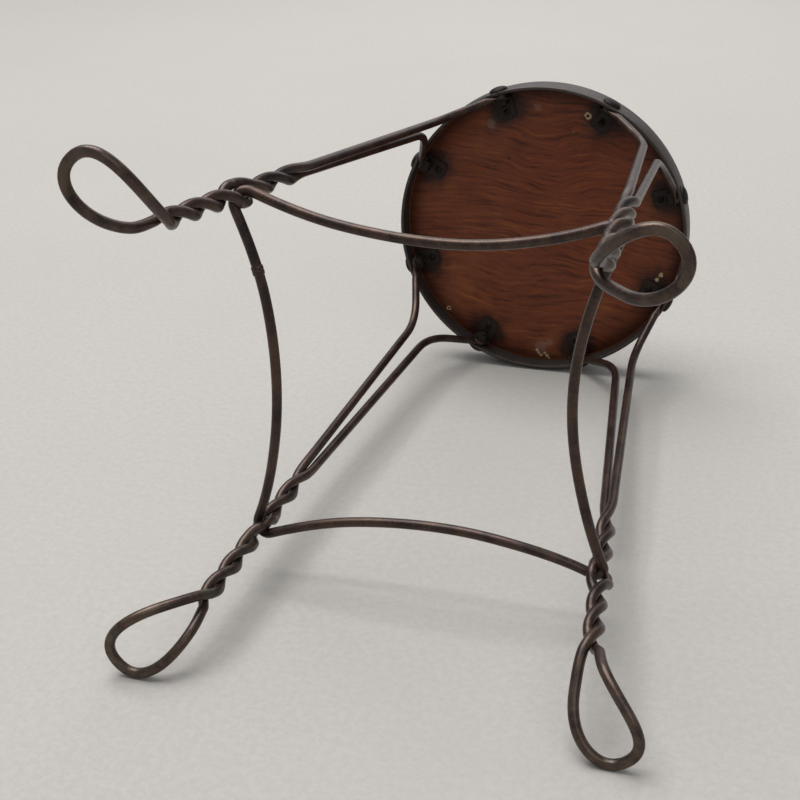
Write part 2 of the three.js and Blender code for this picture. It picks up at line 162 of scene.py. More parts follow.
# Old nail and screw holes under the seat: place from the axis, and radius.
OLD_HOLES = (
    (124.4, 34.4, 1.5),
    (-106.4, -96.5, 1.3),
    (106.5, 22.0, 0.8),
    (71.0, -43.3, 0.9),
    (-141.0, 43.5, 0.8),
)
# Places where the stain is chipped through to bare wood: place from the axis, and radius.
CHIPS = (
    (124.4, 34.4, 4.6),
    (-106.4, -96.5, 3.4),
    (106.5, 22.0, 1.5),
    (-31.9, 129.6, 3.4),
    (-37.6, 126.5, 2.8),
    (-138.5, 7.5, 2.4),
    (-141.5, 9.5, 2.4),
    (-144.0, 12.5, 2.2),
    (-140.5, 16.5, 2.0),
    (-143.5, 19.0, 2.4),
    (-145.8, 21.5, 1.9),
    (-141.0, 43.5, 1.3),
)
# Places where the varnish is only scuffed and has gone cloudy.
SCUFFS = (
    (104.2, -65.6, 7.0),
    (-133.0, 12.0, 9.0),
    (127.5, -17.8, 5.0),
    (-127.0, 20.0, 5.0),
)

FINISH_OF_SLOT = {
    "wire_steel": "browned_wire",
    "hoop_steel": "grey_hoop",
    "seat_plywood": "stained_plywood",
    "fixing_steel": "oiled_fixing",
}

FLOOR_SIZE = 40
ROOM_COLOUR = (0.93, 0.96, 1, 1)
ROOM_STRENGTH = 0.30
LIT_HEIGHT = 0.3
# Each light's name, place from the middle of the stool, size and power.
LIGHTS = (
    ("sky", (5.8, -2.0, 0.6), 4.8, 500),
    ("camera_side", (1.6, 0.9, -1.5), 1.6, 9),
    ("overhead", (1.6, -0.2, 2.2), 2.0, 12),
)

LENS = 58.34
SENSOR = 36
CAMERA_PLACE = Vector((0.4148, 0.2386, -0.7181))
CAMERA_RIGHT = Vector((0.0510, 0.9513, 0.3042))
CAMERA_UP = Vector((0.9034, -0.1737, 0.3919))


# ------------------------------------------------------------------ settings shown in the sidebar
def length_property(label, meaning, default):
    return FloatProperty(name=label, description=meaning, default=default, min=0, unit="LENGTH")


def colour_property(label, meaning, default):
    return FloatVectorProperty(
        name=label, description=meaning, default=default, size=4, min=0, max=1, subtype="COLOR"
    )


class StoolSizes(bpy.types.PropertyGroup):
    wire_diameter: length_property("Wire", "Diameter of the leg and ring wire", 8.4 * MM)
    hoop_thickness: length_property("Hoop Thickness", "Thickness of the flat steel hoop", 3 * MM)
    hoop_edge: length_property("Hoop Edge", "Rounding of the hoop's edges", 0.7 * MM)
    panel_edge: length_property("Seat Edge", "Rounding of the seat's top edge", 2.5 * MM)
    eye_diameter: length_property("Eye", "Diameter of the flattened wire ends", 15 * MM)
    bolt_diameter: length_property("Bolt", "Diameter of the bolt shanks", 6 * MM)
    head_diameter: length_property("Bolt Head", "Diameter of the domed bolt heads", 19 * MM)
    head_height: length_property("Head Height", "Height of the domed bolt heads", 4.2 * MM)
    nut_width: length_property("Nut", "Width across the flats of the square nuts", 11.5 * MM)
    nut_thickness: length_property("Nut Thickness", "Thickness of the square nuts", 5 * MM)
    clip_width: length_property("Clip", "Width of the seat clips", 19 * MM)
    clip_thickness: length_property("Clip Thickness", "Thickness of the clip strip", 2 * MM)
    clip_reach: length_property("Clip Reach", "Length of a clip along the seat", 24 * MM)
    clip_drop: length_property("Clip Drop", "Length of a clip down the hoop", 14 * MM)
    screw_diameter: length_property("Screw Head", "Diameter of the screw heads", 7.6 * MM)


class StoolFinish(bpy.types.PropertyGroup):
    wire_dark: colour_property("Wire Dark", "Dark oxide on the wire", (0.024, 0.0162, 0.0158, 1))
    wire_brown: colour_property("Wire Brown", "Browned steel on the wire", (0.074, 0.0435, 0.0300, 1))
    wire_bare: colour_property("Wire Worn", "Rubbed steel at the feet", (0.130, 0.094, 0.068, 1))
    old_paint: colour_property("Old Paint", "Traces of green paint", (0.066, 0.070, 0.050, 1))
    hoop_grey: colour_property("Hoop Grey", "Grey-brown oxide on the hoop", (0.050, 0.041, 0.039, 1))
    hoop_dark: colour_property("Hoop Dark", "Dark patches on the hoop", (0.018, 0.0145, 0.0145, 1))
    fixing_dark: colour_property("Fixing Dark", "Oiled steel of the fixings", (0.0032, 0.0023, 0.0023, 1))
    fixing_rust: colour_property("Fixing Rust", "Browned steel of the fixings", (0.0125, 0.0062, 0.0048, 1))
    wood_red: colour_property("Wood Red", "Red-brown stain on the seat", (0.150, 0.0345, 0.0115, 1))
    wood_dark: colour_property("Wood Dark", "Dark late wood and pores", (0.054, 0.0125, 0.0055, 1))
    wood_gold: colour_property("Wood Gold", "Orange streaks in the grain", (0.310, 0.096, 0.026, 1))
    # Painted shade on the seat: darkens it round each clip and at its rim beside the hoop.
    painted_shade: colour_property("Painted Shade", "Oil soaked into the wood", (0.013, 0.0050, 0.0035, 1))
    bare_wood: colour_property("Bare Wood", "Chipped, unstained wood", (0.460, 0.330, 0.190, 1))
    dust: colour_property("Dust", "Pale settled dust", (0.200, 0.170, 0.140, 1))
    floor: colour_property("Floor", "Plain pale floor", (0.432, 0.411, 0.382, 1))


# ------------------------------------------------------------------ modelling helpers
def smoothstep(share):
    share = min(max(share, 0), 1)
    return share * share * (3 - 2 * share)


def lerp(start, end, share):
    return start + (end - start) * share


def pick(*pieces):
    """Leaves object mode's selection holding only these pieces, the last one active."""
    bpy.ops.object.select_all(action="DESELECT")
    for piece in pieces:
        piece.select_set(True)
    bpy.context.view_layer.objects.active = pieces[-1]


def added(name):
    """Names the object that an add operator has just made."""
    piece = bpy.context.object
    piece.name = name
    piece.data.name = name
    return piece


def edit(piece):
    pick(piece)
    bpy.ops.object.mode_set(mode="EDIT")
    bpy.ops.mesh.select_all(action="SELECT")


def leave():
    bpy.ops.object.mode_set(mode="OBJECT")


def choose(piece, part, test):
    """In edit mode, selects the verts, edges or faces of a piece that pass a test."""
    bpy.context.tool_settings.mesh_select_mode = [part == kind for kind in ("verts", "edges", "faces")]
    bpy.ops.mesh.select_all(action="DESELECT")
    mesh = bmesh.from_edit_mesh(piece.data)
    for item in getattr(mesh, part):
        item.select_set(test(item))
    mesh.select_flush_mode()
    bmesh.update_edit_mesh(piece.data)


def middle(face):
    return face.calc_center_median()


def finish_with(piece, kind, **settings):
    """Gives a piece a modifier and applies it."""
    pick(piece)
    modifier = piece.modifiers.new(kind.title(), kind)
    for name, value in settings.items():
        setattr(modifier, name, value)
    bpy.ops.object.modifier_apply(modifier=modifier.name)


def combine(piece, tool, operation):
    """Joins a closed tool to a piece, or cuts it away, and removes the tool."""
    finish_with(piece, "BOOLEAN", operation=operation, object=tool, solver="EXACT")
    bpy.data.objects.remove(tool)


def rod(radius, length, place, direction, sides=32):
    """A round rod through a place, lying along a direction."""
    turn = direction.to_track_quat("Z", "Y").to_euler()
    bpy.ops.object.select_all(action="DESELECT")
    bpy.ops.mesh.primitive_cylinder_add(
        vertices=sides, radius=radius, depth=length, location=place, rotation=turn
    )
    bpy.ops.object.transform_apply()
    return added("rod")


def joined(pieces):
    pick(*pieces)
    bpy.ops.object.join()
    return bpy.context.object


def settle(piece, turn=None, place=None):
    """Turns a piece, moves it, and puts the result in its mesh."""
    pick(piece)
    piece.rotation_euler = turn or Euler()
    piece.location = place or Vector()
    bpy.ops.object.transform_apply()


def tidy_surface(piece, angle=35):
    edit(piece)
    bpy.ops.mesh.remove_doubles(threshold=0.01 * MM)
    bpy.ops.mesh.normals_make_consistent(inside=False)
    leave()
    pick(piece)
    bpy.ops.object.shade_smooth_by_angle(angle=math.radians(angle))


def extrude(offset):
    bpy.ops.mesh.extrude_region_move(TRANSFORM_OT_translate={"value": offset})


def scale_about(place, factors, axes=None):
    """Scales the selection about a place, along three axes of its own."""
    frame_of_scale = Matrix(axes or ((1, 0, 0), (0, 1, 0), (0, 0, 1))).transposed()
    bpy.ops.transform.resize(
        value=factors,
        orient_type="GLOBAL",
        orient_matrix=frame_of_scale,
        orient_matrix_type="GLOBAL",
        center_override=place,
    )


def hand_over(piece, node, slot):
    """Sets a finished piece down on the stool's axis and lets it stand for its CAD node."""
    settle(piece, place=AXIS)
    piece.data.materials.clear()
    piece.data.materials.append(bpy.data.materials[FINISH_OF_SLOT[slot]])
    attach(piece, "root")
    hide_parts(node)


def round_the_hoop(master, name, node, turn_by_hand=None):
    """Copies a fixing modelled at azimuth 0 to each of the bolts' places."""
    for index in range(FIXING_COUNT):
        pick(master)
        bpy.ops.object.duplicate(linked=False)
        piece = added(f"{name}_{index + 1}")
        if turn_by_hand:
            turn_by_hand(piece, index)
        settle(piece, turn=Euler((0, 0, math.radians(BOLT_AZIMUTH + FIXING_STEP * index))))
        hand_over(piece, f"{node}_{index + 1}", "fixing_steel")
    bpy.data.objects.remove(master)


# ------------------------------------------------------------------ material helpers
def add_node(tree, kind, settings=None, inputs=None):
    """Adds a shader node; an input is given as a value or as the socket that feeds it."""
    made = tree.nodes.new(kind)
    for name, value in (settings or {}).items():
        setattr(made, name, value)
    for name, value in (inputs or {}).items():
        if isinstance(value, bpy.types.NodeSocket):
            tree.links.new(value, made.inputs[name])
        else:
            made.inputs[name].default_value = value
    return made


def calc(tree, operation, *values, clamp=False):
    inputs = dict(enumerate(values))
    settings = {"operation": operation, "use_clamp": clamp}
    return add_node(tree, "ShaderNodeMath", settings, inputs).outputs[0]


def mix(tree, share, first, second, blend="MIX"):
    """Mixes two colours."""
    settings = {"data_type": "RGBA", "blend_type": blend}
    made = add_node(tree, "ShaderNodeMix", settings, {0: share, 6: first, 7: second})
    return made.outputs[2]


def between(tree, value, low, high, to_low=0.0, to_high=1.0):
    """Maps a value's range onto another one, without going past its ends."""
    inputs = {"Value": value, "From Min": low, "From Max": high, "To Min": to_low, "To Max": to_high}
    settings = {"interpolation_type": "SMOOTHSTEP"}
    return add_node(tree, "ShaderNodeMapRange", settings, inputs).outputs["Result"]


def noise_of(tree, vector, scale, detail=4.0, roughness=0.55, distortion=0.0):
    inputs = {
        "Vector": vector,
        "Scale": scale,
        "Detail": detail,
        "Roughness": roughness,
        "Distortion": distortion,
    }
    return add_node(tree, "ShaderNodeTexNoise", None, inputs).outputs["Fac"]


def stretched(tree, vector, scale):
    inputs = {"Vector": vector, "Scale": scale}
    return add_node(tree, "ShaderNodeMapping", None, inputs).outputs["Vector"]


def new_group(name, takes, gives):
    """Starts a shader node group with named inputs and outputs."""
    group = bpy.data.node_groups.new(name, "ShaderNodeTree")
    for label, kind, default in takes:
        socket = group.interface.new_socket(label, in_out="INPUT", socket_type=kind)
        if default is not None:
            socket.default_value = default
    for label, kind in gives:
        group.interface.new_socket(label, in_out="OUTPUT", socket_type=kind)
    start = group.nodes.new("NodeGroupInput")
    end = group.nodes.new("NodeGroupOutput")
    return group, start.outputs, end.inputs


def use_group(tree, name, inputs):
    return add_node(tree, "ShaderNodeGroup", {"node_tree": bpy.data.node_groups[name]}, inputs).outputs


def build_oxide_group():
    """Blotched oxide on old steel: colour, roughness and height from one pattern."""
    takes = (
        ("Vector", "NodeSocketVector", None),
        ("Dark", "NodeSocketColor", (0.02, 0.015, 0.015, 1)),
        ("Brown", "NodeSocketColor", (0.06, 0.035, 0.025, 1)),
        ("Blotch Scale", "NodeSocketFloat", 45.0),
        ("Speck Scale", "NodeSocketFloat", 520.0),
        ("Brown Share", "NodeSocketFloat", 0.5),
        ("Smooth", "NodeSocketFloat", 0.27),
        ("Rough", "NodeSocketFloat", 0.43),
    )
    gives = (
        ("Color", "NodeSocketColor"),
        ("Roughness", "NodeSocketFloat"),
        ("Height", "NodeSocketFloat"),
    )
    tree, given, out = new_group("Oxide", takes, gives)
    blotch = noise_of(tree, given["Vector"], given["Blotch Scale"], 6, 0.62, 0.4)
    speck = noise_of(tree, given["Vector"], given["Speck Scale"], 5, 0.7)
    pitted = add_node(
        tree,
        "ShaderNodeTexVoronoi",
        {"feature": "F1"},
        {"Vector": given["Vector"], "Scale": given["Speck Scale"], "Randomness": 1.0},
    ).outputs["Distance"]
    level = calc(tree, "SUBTRACT", 1.0, given["Brown Share"])
    low = calc(tree, "SUBTRACT", calc(tree, "MULTIPLY_ADD", level, 0.5, 0.25), 0.13)
    high = calc(tree, "ADD", low, 0.26)
    pattern = calc(tree, "MULTIPLY_ADD", speck, 0.3, calc(tree, "MULTIPLY", blotch, 0.7))
    brown = between(tree, pattern, low, high)
    base = mix(tree, brown, given["Dark"], given["Brown"])
    lighter = between(tree, speck, 0.56, 0.74, 0.0, 0.45)
    base = mix(tree, lighter, base, given["Brown"], "ADD")
    tree.links.new(base, out["Color"])
    tree.links.new(between(tree, speck, 0.3, 0.72, given["Smooth"], given["Rough"]), out["Roughness"])
    pits = between(tree, pitted, 0.08, 0.3)
    height = calc(tree, "MULTIPLY_ADD", speck, 0.6, calc(tree, "MULTIPLY", pits, 0.4))
    tree.links.new(height, out["Height"])


def build_edge_group():
    """Mask of the sharp edges of a piece, broken up so that only the proud spots are rubbed."""
    takes = (
        ("Vector", "NodeSocketVector", None),
        ("Amount", "NodeSocketFloat", 0.5),
        ("Break Scale", "NodeSocketFloat", 260.0),
    )
    tree, given, out = new_group("Edge Wear", takes, (("Mask", "NodeSocketFloat"),))
    sharp = add_node(tree, "ShaderNodeNewGeometry").outputs["Pointiness"]
    broken = noise_of(tree, given["Vector"], given["Break Scale"], 4, 0.65)
    lifted = calc(tree, "MULTIPLY_ADD", broken, 0.06, sharp)
    mask = between(tree, lifted, 0.535, 0.60)
    tree.links.new(calc(tree, "MULTIPLY", mask, given["Amount"], clamp=True), out["Mask"])


def build_dust_group():
    """Mask of fine dust and scuffs, which gather in cloudy patches."""
    takes = (
        ("Vector", "NodeSocketVector", None),
        ("Amount", "NodeSocketFloat", 0.3),
        ("Patch Scale", "NodeSocketFloat", 14.0),
        ("Grit Scale", "NodeSocketFloat", 900.0),
    )
    tree, given, out = new_group("Dust", takes, (("Mask", "NodeSocketFloat"),))
    patch = between(tree, noise_of(tree, given["Vector"], given["Patch Scale"], 5, 0.6), 0.42, 0.72)
    grit = between(tree, noise_of(tree, given["Vector"], given["Grit Scale"], 3, 0.7), 0.40, 0.72)
    covered = calc(tree, "MULTIPLY", patch, grit)
    tree.links.new(calc(tree, "MULTIPLY", covered, given["Amount"], clamp=True), out["Mask"])


def new_material(name, metallic):
    """A material with its Principled shader, its object coordinates and a bump node."""
    material = bpy.data.materials.new(name)
    material.use_nodes = True
    tree = material.node_tree
    shader = tree.nodes["Principled BSDF"]
    shader.inputs["Metallic"].default_value = metallic
    place = add_node(tree, "ShaderNodeTexCoord").outputs["Object"]
    bump = add_node(tree, "ShaderNodeBump", None, {"Strength": 0.35, "Distance": 0.3 * MM})
    tree.links.new(bump.outputs["Normal"], shader.inputs["Normal"])
    return material, tree, shader, place, bump


def connect(tree, shader, bump, colour, roughness, height):
    tree.links.new(colour, shader.inputs["Base Color"])
    tree.links.new(roughness, shader.inputs["Roughness"])
    tree.links.new(height, bump.inputs["Height"])


def build_wire_material():
    """Dark browned wire, rubbed brighter towards the feet and bare on the soles."""
    finish = bpy.context.scene.stool_finish
    material, tree, shader, place, bump = new_material("browned_wire", 0.62)
    bump.inputs["Strength"].default_value = 0.16
    oxide = use_group(
        tree, "Oxide", {"Vector": place, "Dark": finish.wire_dark, "Brown": finish.wire_brown}
    )
    height = add_node(tree, "ShaderNodeSeparateXYZ", None, {0: place}).outputs["Z"]
    patches = noise_of(tree, place, 70, 5, 0.65)
    low_down = between(tree, height, 60 * MM, 2 * MM, 0.0, 0.55)
    rubbed = calc(tree, "MULTIPLY", low_down, between(tree, patches, 0.36, 0.66), clamp=True)
    colour = mix(tree, rubbed, oxide["Color"], finish.wire_bare)
    paint_patch = between(tree, noise_of(tree, place, 33, 3, 0.5), 0.60, 0.68, 0.0, 0.5)
    paint = calc(tree, "MULTIPLY", paint_patch, between(tree, height, 190 * MM, 20 * MM))
    colour = mix(tree, paint, colour, finish.old_paint)
    sole = between(tree, height, 0.30 * MM, 0.12 * MM)
    sole_patch = calc(tree, "MULTIPLY", sole, between(tree, patches, 0.25, 0.75, 0.15, 0.8))
    colour = mix(tree, sole_patch, colour, finish.wire_bare)
    dust = use_group(tree, "Dust", {"Vector": place, "Amount": 0.12})["Mask"]
    colour = mix(tree, dust, colour, finish.dust)
    rough = calc(tree, "MULTIPLY_ADD", sole, 0.18, oxide["Roughness"])
    connect(tree, shader, bump, colour, rough, oxide["Height"])


def build_hoop_material():
    """Grey-brown flat steel, brighter along its rubbed edges."""
    finish = bpy.context.scene.stool_finish
    material, tree, shader, place, bump = new_material("grey_hoop", 0.60)
    oxide = use_group(
        tree,
        "Oxide",
        {
            "Vector": stretched(tree, place, (1, 1, 2.2)),
            "Dark": finish.hoop_dark,
            "Brown": finish.hoop_grey,
            "Blotch Scale": 30.0,
            "Brown Share": 0.68,
            "Smooth": 0.40,
            "Rough": 0.62,
        },
    )
    edge = use_group(tree, "Edge Wear", {"Vector": place, "Amount": 0.45})["Mask"]
    colour = mix(tree, edge, oxide["Color"], finish.wire_bare)
    dust = use_group(tree, "Dust", {"Vector": place, "Amount": 0.25, "Patch Scale": 20.0})["Mask"]
    colour = mix(tree, dust, colour, finish.dust)
    connect(tree, shader, bump, colour, oxide["Roughness"], oxide["Height"])


def build_fixing_material():
    """Oily, almost black steel with brown rust in patches and rubbed corners."""
    finish = bpy.context.scene.stool_finish
    material, tree, shader, place, bump = new_material("oiled_fixing", 0.15)
    shader.inputs["Specular IOR Level"].default_value = 0.18
    oxide = use_group(
        tree,
        "Oxide",
        {
            "Vector": place,
            "Dark": finish.fixing_dark,
            "Brown": finish.fixing_rust,
            "Blotch Scale": 120.0,
            "Speck Scale": 900.0,
            "Brown Share": 0.45,
            "Smooth": 0.36,
            "Rough": 0.66,
        },
    )
    edge = use_group(tree, "Edge Wear", {"Vector": place, "Amount": 0.15, "Break Scale": 500.0})["Mask"]
    colour = mix(tree, edge, oxide["Color"], finish.wire_bare)
    connect(tree, shader, bump, colour, oxide["Roughness"], oxide["Height"])


def distance_to(tree, place, spot):
    """Distance across the seat from a spot, in metres, whatever the height."""
    flat = add_node(tree, "ShaderNodeVectorMath", {"operation": "MULTIPLY"}, {0: place, 1: (1, 1, 0)})
    settings = {"operation": "DISTANCE"}
    return add_node(tree, "ShaderNodeVectorMath", settings, {0: flat.outputs[0], 1: spot}).outputs["Value"]


def spot_mask(tree, place, underside, spots, strength):
    """Ragged patches at a list of spots, on the underside only."""
    ragged = noise_of(tree, place, 260, 4, 0.7)
    total = None
    for x, y, radius in spots:
        spot = (AXIS.x + x * MM, AXIS.y + y * MM, 0)
        near = calc(tree, "DIVIDE", distance_to(tree, place, spot), radius * MM)
        torn = calc(tree, "MULTIPLY_ADD", ragged, 1.5, near)
        patch = between(tree, torn, 1.65, 1.30)
        total = patch if total is None else calc(tree, "MAXIMUM", total, patch)
    return calc(tree, "MULTIPLY", calc(tree, "MULTIPLY", total, strength), underside)


def clip_and_rim_shade_mask(tree, place, underside):
    """Painted shade on the seat: darker round each clip on the underside, and towards the rim beside the
    hoop.
    """
    centred = add_node(
        tree, "ShaderNodeVectorMath", {"operation": "SUBTRACT"}, {0: place, 1: tuple(AXIS)}
    ).outputs[0]
    parts = add_node(tree, "ShaderNodeSeparateXYZ", None, {0: centred}).outputs
    azimuth = calc(tree, "ARCTAN2", parts["Y"], parts["X"])
    half_step = math.radians(FIXING_STEP / 2)
    beside = calc(tree, "SUBTRACT", half_step, calc(tree, "PINGPONG", azimuth, half_step))
    radius = add_node(
        tree, "ShaderNodeVectorMath", {"operation": "LENGTH"}, {0: stretched(tree, centred, (1, 1, 0))}
    ).outputs["Value"]
    across = calc(tree, "MULTIPLY", beside, radius)
    inwards = calc(tree, "SUBTRACT", 138 * MM, radius)
    squares = [calc(tree, "POWER", side, 2.0) for side in (across, inwards)]
    away = calc(tree, "SQRT", calc(tree, "ADD", *squares))
    blurred = calc(tree, "MULTIPLY_ADD", noise_of(tree, place, 60, 4, 0.6), 22 * MM, away)
    # Painted shade: darker towards the rim beside the hoop on both faces, and near each clip on the
    # underside.
    rim = between(tree, radius, 130 * MM, 148 * MM, 0.0, 0.7)
    shade_round_clips = calc(tree, "MULTIPLY", between(tree, blurred, 43 * MM, 24 * MM), underside)
    return calc(tree, "MAXIMUM", shade_round_clips, rim), radius


def build_plywood_material():
    """Red-stained, varnished plywood whose wavy grain runs along Y."""
    finish = bpy.context.scene.stool_finish
    material, tree, shader, place, bump = new_material("stained_plywood", 0.0)
    shader.inputs["Specular IOR Level"].default_value = 0.22
    shader.inputs["Coat Weight"].default_value = 0.04
    shader.inputs["Coat Roughness"].default_value = 0.3
    height = add_node(tree, "ShaderNodeSeparateXYZ", None, {0: place}).outputs["Z"]
    underside = between(tree, height, PANEL_LOW.z + 1.2 * MM, PANEL_LOW.z + 0.9 * MM)

    flow = noise_of(tree, stretched(tree, place, (1, 0.7, 0.2)), 11, 3, 0.5)
    drift = add_node(
        tree, "ShaderNodeCombineXYZ", None, {"X": calc(tree, "MULTIPLY", flow, 0.055)}
    ).outputs[0]
    warped = add_node(tree, "ShaderNodeVectorMath", {"operation": "ADD"}, {0: place, 1: drift}).outputs[0]
    figure = noise_of(tree, stretched(tree, warped, (1, 0.075, 0.3)), 300, 5, 0.66, 0.25)
    bands = add_node(
        tree,
        "ShaderNodeTexWave",
        {"wave_type": "BANDS", "bands_direction": "X", "wave_profile": "SAW"},
        {
            "Vector": stretched(tree, warped, (1, 0.10, 0.3)),
            "Scale": 62.0,
            "Distortion": 6.0,
            "Detail": 3.0,
            "Detail Scale": 75.0,
            "Detail Roughness": 0.6,
        },
    ).outputs["Fac"]
    pores = noise_of(tree, stretched(tree, warped, (1, 0.045, 0.3)), 900, 3, 0.7)
    cloud = noise_of(tree, place, 16, 4, 0.6)

    late = calc(tree, "MULTIPLY", between(tree, bands, 0.62, 0.98), between(tree, cloud, 0.3, 0.62))
    gold = between(tree, figure, 0.52, 0.74, 0.0, 0.55)
    colour = mix(tree, between(tree, figure, 0.30, 0.52), finish.wood_dark, finish.wood_red)
    colour = mix(tree, gold, colour, finish.wood_gold)
    colour = mix(tree, calc(tree, "MULTIPLY", late, 0.38), colour, finish.wood_dark)
    colour = mix(tree, between(tree, pores, 0.55, 0.72, 0.0, 0.5), colour, finish.wood_dark)
    colour = mix(tree, between(tree, cloud, 0.48, 0.78, 0.0, 0.28), colour, finish.wood_gold)

    # Painted shade round the clips and at the rim beside the hoop.
    painted_shade, radius = clip_and_rim_shade_mask(tree, place, underside)
    colour = mix(tree, calc(tree, "MULTIPLY", painted_shade, 0.9), colour, finish.painted_shade)
    scuffs = spot_mask(tree, place, underside, SCUFFS, 0.30)
    colour = mix(tree, scuffs, colour, finish.dust)
    chips = spot_mask(tree, place, underside, CHIPS, 0.85)
    colour = mix(tree, chips, colour, finish.bare_wood)
    holes = spot_mask(tree, place, underside, OLD_HOLES, 1.0)
    colour = mix(tree, holes, colour, finish.fixing_dark)

    plies = add_node(
        tree,
        "ShaderNodeTexWave",
        {"wave_type": "BANDS", "bands_direction": "Z"},
        {"Vector": place, "Scale": 105.0, "Distortion": 0.3},
    ).outputs["Fac"]
    edge = calc(tree, "MULTIPLY", between(tree, radius, 147.7 * MM, 148.7 * MM), 0.7)
    colour = mix(tree, calc(tree, "MULTIPLY", edge, plies), colour, finish.wood_gold)
    dust = use_group(tree, "Dust", {"Vector": place, "Amount": 0.12, "Patch Scale": 9.0})["Mask"]
    colour = mix(tree, dust, colour, finish.dust)

    rough = calc(tree, "MULTIPLY_ADD", pores, 0.25, 0.36)
    rough = calc(tree, "MULTIPLY_ADD", chips, 0.3, rough, clamp=True)
    grain = calc(tree, "MULTIPLY_ADD", bands, -0.3, calc(tree, "MULTIPLY", pores, -0.7))
    relief = calc(tree, "SUBTRACT", grain, chips)
    bump.inputs["Distance"].default_value = 0.4 * MM
    connect(tree, shader, bump, colour, rough, relief)


def stage_material(name):
    """Plain pale floor, seen and lit from its front only."""
    finish = bpy.context.scene.stool_finish
    material, tree, shader, place, bump = new_material(name, 0.0)
    speckle = noise_of(tree, place, 160, 6, 0.8)
    cloud = noise_of(tree, place, 3, 4, 0.6)
    dark = [share * 0.90 for share in finish.floor[:3]] + [1]
    colour = mix(tree, between(tree, speckle, 0.35, 0.65), dark, finish.floor)
    colour = mix(tree, between(tree, cloud, 0.35, 0.7, 0.0, 0.35), colour, dark)
    connect(tree, shader, bump, colour, calc(tree, "MULTIPLY_ADD", speckle, 0.1, 0.82), speckle)
    behind = add_node(tree, "ShaderNodeNewGeometry").outputs["Backfacing"]
    clear = add_node(tree, "ShaderNodeBsdfTransparent").outputs[0]
    both = add_node(tree, "ShaderNodeMixShader", None, {0: behind, 1: shader.outputs[0], 2: clear})
    tree.links.new(both.outputs[0], tree.nodes["Material Output"].inputs["Surface"])
    return material


# ------------------------------------------------------------------ centre lines of the wires
def leg_axis_radius(height):
    heights = (TWIST_BOTTOM_HEIGHT, TWIST_TOP_HEIGHT, SHOULDER_HEIGHT)
    radii = (TWIST_BOTTOM_RADIUS, TWIST_TOP_RADIUS, SHOULDER_RADIUS)
    return float(np.interp(height, heights, radii))


def twist_rate(height):
    """Speed of twisting at a height: none in the ring's opening or above the twist."""
    from_ring = abs(height - RING_HEIGHT) - RING_OPENING_HALF_HEIGHT
    at_ring = from_ring / RING_TWIST_EASE
    at_top = (TWIST_TOP_HEIGHT + TWIST_EASE - height) / (2 * TWIST_EASE)
    return min(max(min(at_ring, at_top), 0), 1)


def strand_angles():
    """Heights up the twist, and the first strand's angle round the leg's axis at each."""
    top = TWIST_TOP_HEIGHT + TWIST_EASE
    heights = np.arange(PARTING_HEIGHT, top + MM / 2, MM)
    rates = np.array([twist_rate(height) for height in heights])
    above = heights > RING_HEIGHT
    rates[above] *= TURNS_ABOVE_RING / rates[above].sum()
    rates[~above] *= TURNS_BELOW_RING / rates[~above].sum()
    turned = rates[::-1].cumsum()[::-1]
    return heights, math.pi / 2 - 2 * math.pi * turned


TWIST_HEIGHTS, TWIST_ANGLES = strand_angles()


def strand_offset(height):
    from_ring = abs(height - RING_HEIGHT) - RING_OPENING_HALF_HEIGHT
    closed = min(max(from_ring / RING_OPENING_EASE, 0), 1)
    opened = 0.5 + 0.5 * math.cos(math.pi * closed)
    rise = min(max((height - TWIST_TOP_HEIGHT) / (SHOULDER_HEIGHT - TWIST_TOP_HEIGHT), 0), 1)
    return lerp(STRAND_OFFSET, RING_OPENING, opened) + rise * (SHOULDER_HALF_GAP - STRAND_OFFSET)


def strand_point(side, height):
    angle = float(np.interp(height, TWIST_HEIGHTS, TWIST_ANGLES))
    offset = side * strand_offset(height)
    return Vector((leg_axis_radius(height) + offset * math.cos(angle), offset * math.sin(angle), height))


def eye_centre(side):
    distance = (EYE_FACE + EYE_INNER_FACE) / 2
    angle = math.radians(BOLT_AZIMUTH)
    return Vector((distance * math.cos(angle), side * distance * math.sin(angle), BOLT_HEIGHT))


def shoulder_point(side):
    return Vector((SHOULDER_RADIUS, side * SHOULDER_HALF_GAP, SHOULDER_HEIGHT))


def bezier(share, points):
    """Point of a Bezier curve of any order."""
    while len(points) > 1:
        points = [lerp(first, second, share) for first, second in zip(points, points[1:])]
    return points[0]


def upper_points(side):
    """From the eye at the seat down to the loop at the foot, on one side of the leg."""
    eye = eye_centre(side)
    shoulder = shoulder_point(side)
    to_shoulder = (shoulder - eye).normalized()
    bend_end = strand_point(side, SHOULDER_HEIGHT - SHOULDER_BEND)
    bend_start = shoulder - SHOULDER_BEND * to_shoulder
    neck_end = eye + EYE_NECK_LENGTH * to_shoulder
    points = [neck_end, lerp(neck_end, bend_start, 0.5)]
    points += [bezier(step / 8, [bend_start, shoulder, bend_end]) for step in range(9)]
    twist_start = TWIST_TOP_HEIGHT + TWIST_EASE
    straight = [strand_point(side, lerp(bend_end.z, twist_start, step / 16)) for step in range(1, 16)]
    count = round((twist_start - PARTING_HEIGHT) / STRAND_STEP)
    twisted = [
        strand_point(side, lerp(twist_start, PARTING_HEIGHT, step / count)) for step in range(count + 1)
    ]
    return points + straight + twisted


def loop_points():
    along = [
        Vector((TWIST_BOTTOM_RADIUS, TWIST_BOTTOM_HEIGHT)),
        Vector((ANKLE_RADIUS, FOOT_HEIGHT)),
        Vector((TOE_RADIUS, FOOT_HEIGHT)),
    ]
    outline = [
        Vector((0, STRAND_OFFSET)),
        Vector((LOOP_FLARE_ALONG, LOOP_FLARE_OUT)),
        Vector((1, LOOP_FULLNESS)),
        Vector((1, 0)),
    ]
    points = []
    for side, steps in ((1, range(LOOP_STEPS + 1)), (-1, range(LOOP_STEPS - 1, -1, -1))):
        for step in steps:
            share, out = bezier(step / LOOP_STEPS, outline)
            radius, height = bezier(share, along)
            parted = smoothstep((share + PARTING_LEAD) / PARTING_FADE)
            points.append(Vector((radius - side * (1 - parted) * STRAND_OFFSET, side * out, height)))
    return points


